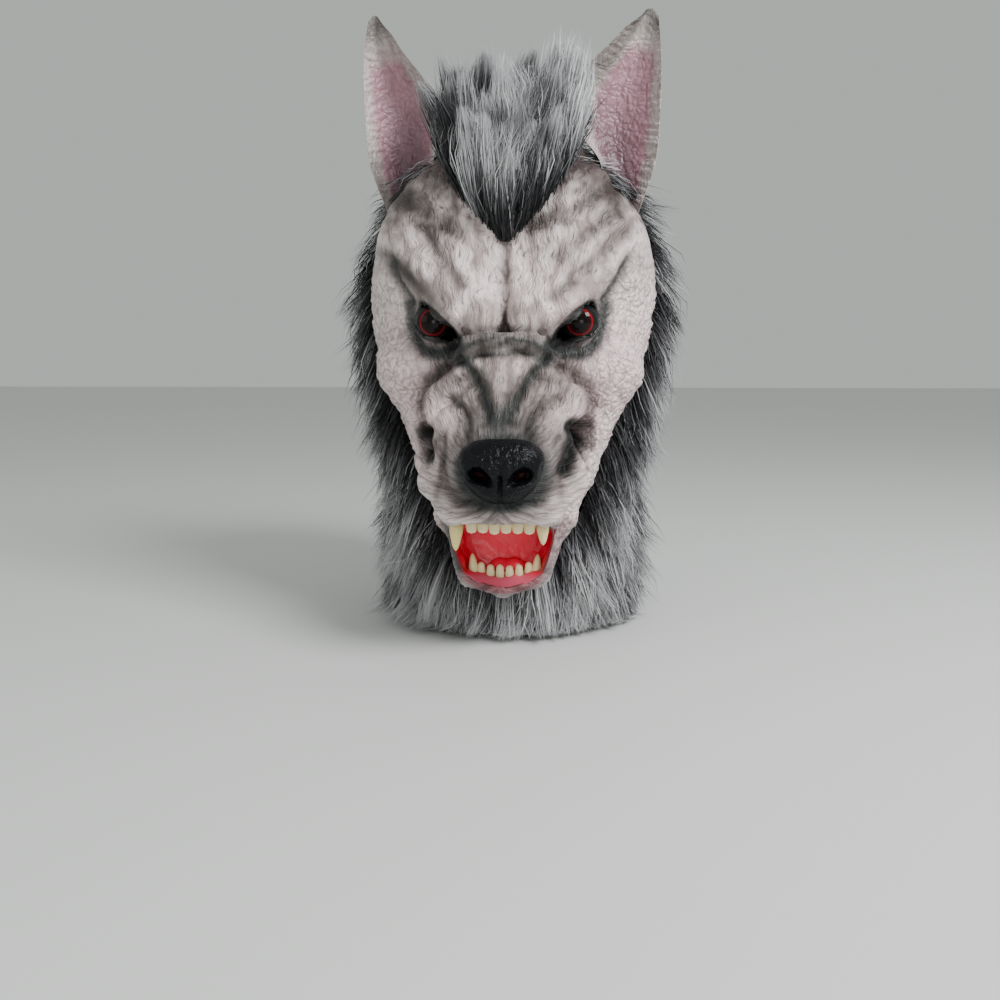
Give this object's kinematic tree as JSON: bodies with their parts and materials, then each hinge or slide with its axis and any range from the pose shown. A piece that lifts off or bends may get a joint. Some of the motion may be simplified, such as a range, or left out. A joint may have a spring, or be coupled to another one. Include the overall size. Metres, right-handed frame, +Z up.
{
  "type": "werewolf mask",
  "caption": "Costume werewolf mask with a snarling grey latex face, black nose, red eyes and mouth, pointed ears and a silver-tipped black fur hood.",
  "frame": {"origin": "middle of the overall box from side to side and front to back, on the flat rim of the neck", "axes": "+Z up, the face looks towards -Y, +X is to the right seen from the front"},
  "size_m": [0.2488, 0.3158, 0.42],
  "materials": {
    "latex": "matt, airbrushed",
    "ear": "matt, airbrushed",
    "nose": "gloss",
    "eye": "gloss",
    "mouth": "gloss",
    "tooth": "satin",
    "fur": "long pile"
  },
  "bodies": {
    "root": {"face": "latex", "nose": "nose", "eye_left": "eye", "eye_right": "eye", "mouth_lining": "mouth", "tongue": "mouth", "ear_left": "ear", "ear_right": "ear", "hood_left_neck": "fur", "hood_left_head": "fur", "hood_left_crown": "fur", "hood_back_neck": "fur", "hood_back_head": "fur", "hood_back_crown": "fur", "hood_right_neck": "fur", "hood_right_head": "fur", "hood_right_crown": "fur", "forelock": "fur", "upper_fang_left": "tooth", "upper_fang_right": "tooth", "lower_fang_left": "tooth", "lower_fang_right": "tooth", "upper_incisor_1": "tooth", "upper_incisor_2": "tooth", "upper_incisor_3": "tooth", "upper_incisor_4": "tooth", "upper_incisor_5": "tooth", "upper_incisor_6": "tooth", "lower_incisor_1": "tooth", "lower_incisor_2": "tooth", "lower_incisor_3": "tooth", "lower_incisor_4": "tooth", "lower_incisor_5": "tooth", "lower_incisor_6": "tooth"}
  },
  "joints": []
}
